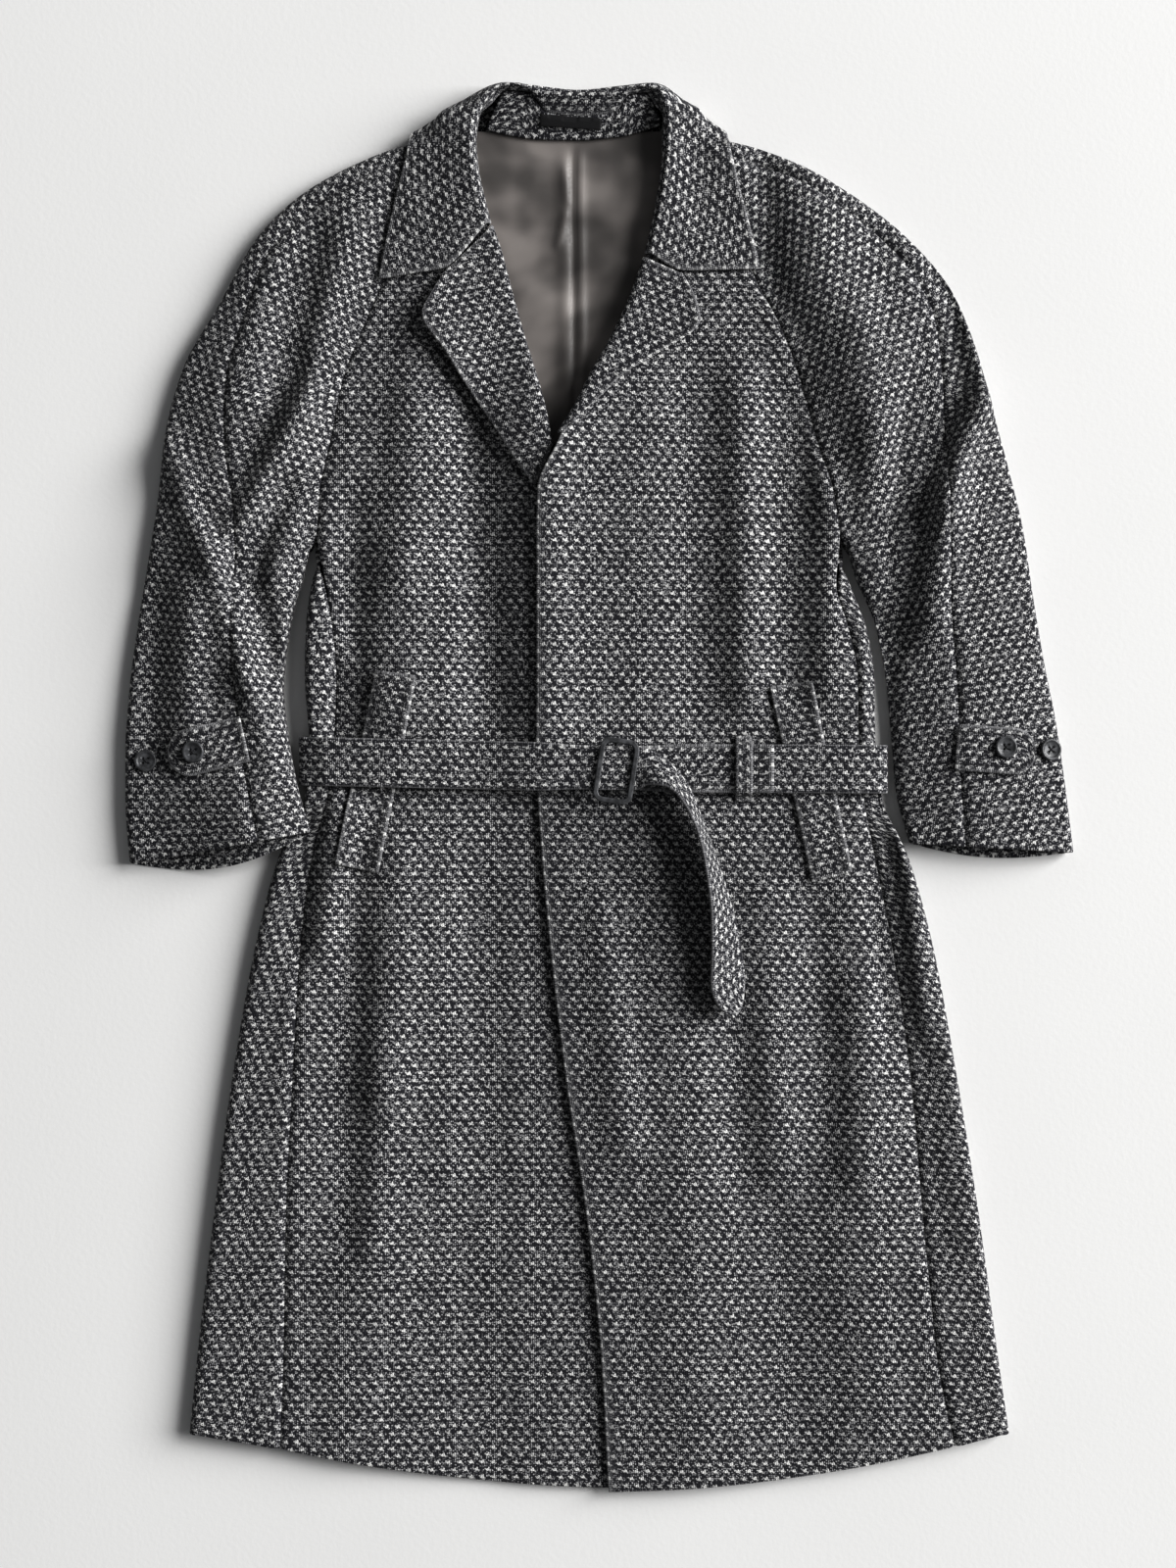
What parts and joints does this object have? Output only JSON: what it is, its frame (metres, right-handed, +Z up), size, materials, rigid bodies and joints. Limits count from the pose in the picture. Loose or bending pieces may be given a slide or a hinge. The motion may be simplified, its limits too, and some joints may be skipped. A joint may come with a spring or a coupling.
{
  "type": "coat",
  "caption": "Belted balmacaan coat of flecked grey tweed, laid flat front up, with raglan sleeves, notched collar, slanted welt pockets, cuff tabs and a slide buckle.",
  "frame": {"origin": "on the floor, under the middle of the coat's bounding box", "axes": "+X towards the wearer's left, +Y from hem to collar, +Z up from the floor through the back to the fronts"},
  "size_m": [0.8232, 1.2205, 0.0573],
  "materials": {
    "tweed": "thick woven wool with off-white flecks",
    "satin": "smooth sheen",
    "label_tape": "matt woven tape",
    "horn_plastic": "half gloss"
  },
  "bodies": {
    "root": {"back": "tweed", "front_right": "tweed", "front_left": "tweed", "sleeve_right_front": "tweed", "sleeve_right_back": "tweed", "sleeve_left_front": "tweed", "sleeve_left_back": "tweed", "collar_fall": "tweed", "collar_stand": "tweed", "lapel_right": "tweed", "lapel_left": "tweed", "welt_right": "tweed", "welt_left": "tweed", "tab_right": "tweed", "tab_left": "tweed", "belt": "tweed", "belt_keeper": "tweed", "buckle": "horn_plastic", "button_right_inner": "horn_plastic", "button_right_outer": "horn_plastic", "button_left_inner": "horn_plastic", "button_left_outer": "horn_plastic", "lining": "satin", "label": "label_tape"}
  },
  "joints": []
}
